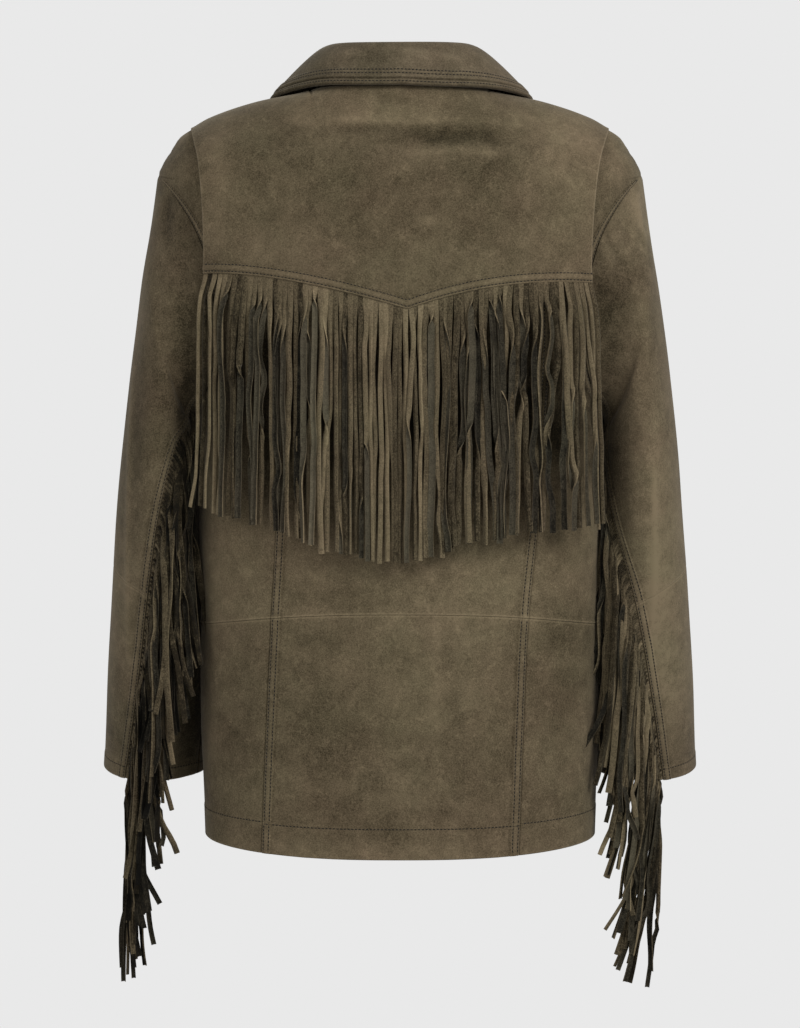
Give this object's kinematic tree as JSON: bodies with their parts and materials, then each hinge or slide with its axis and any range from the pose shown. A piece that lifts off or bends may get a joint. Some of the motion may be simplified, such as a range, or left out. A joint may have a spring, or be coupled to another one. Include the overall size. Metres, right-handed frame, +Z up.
{
  "type": "fringed suede jacket",
  "caption": "Hip-length suede jacket in its worn, hollow shape, with a turn-down collar, pointed back yoke and long fringe below the yoke and down the sleeves.",
  "frame": {"origin": "in the middle of the neck opening, level with the tops of the shoulders, where the wearer holds the jacket up", "axes": "+Z up the wearer, +Y towards the wearer's front (the buttoned side), +X towards the wearer's right hand; the yoke and its fringe face -Y"},
  "size_m": [0.5652, 0.2571, 0.8715],
  "materials": {
    "suede_body": "napped suede, olive brown, matt, with clouded marks",
    "suede_sleeve": "napped suede, olive brown, matt, with rubbed folds",
    "suede_yoke": "napped suede, olive brown, matt, double topstitched edge",
    "suede_collar": "napped suede, olive brown, matt, topstitched edge",
    "suede_fringe": "cut suede strips, brown nap with a charcoal flesh side",
    "horn_button": "dark brown horn, satin"
  },
  "bodies": {
    "root": {"back_centre_upper": "suede_body", "back_centre_lower": "suede_body", "back_side_left_upper": "suede_body", "back_side_left_lower": "suede_body", "back_side_right_upper": "suede_body", "back_side_right_lower": "suede_body", "front_left": "suede_body", "front_right": "suede_body", "yoke": "suede_yoke", "back_fringe": "suede_fringe", "sleeve_fringe_left": "suede_fringe", "sleeve_fringe_right": "suede_fringe", "top_sleeve_left_upper": "suede_sleeve", "top_sleeve_left_lower": "suede_sleeve", "under_sleeve_left": "suede_sleeve", "top_sleeve_right_upper": "suede_sleeve", "top_sleeve_right_lower": "suede_sleeve", "under_sleeve_right": "suede_sleeve", "collar_stand": "suede_collar", "collar_fall": "suede_collar", "button_1": "horn_button", "button_2": "horn_button", "button_3": "horn_button", "button_4": "horn_button", "button_5": "horn_button"}
  },
  "joints": []
}
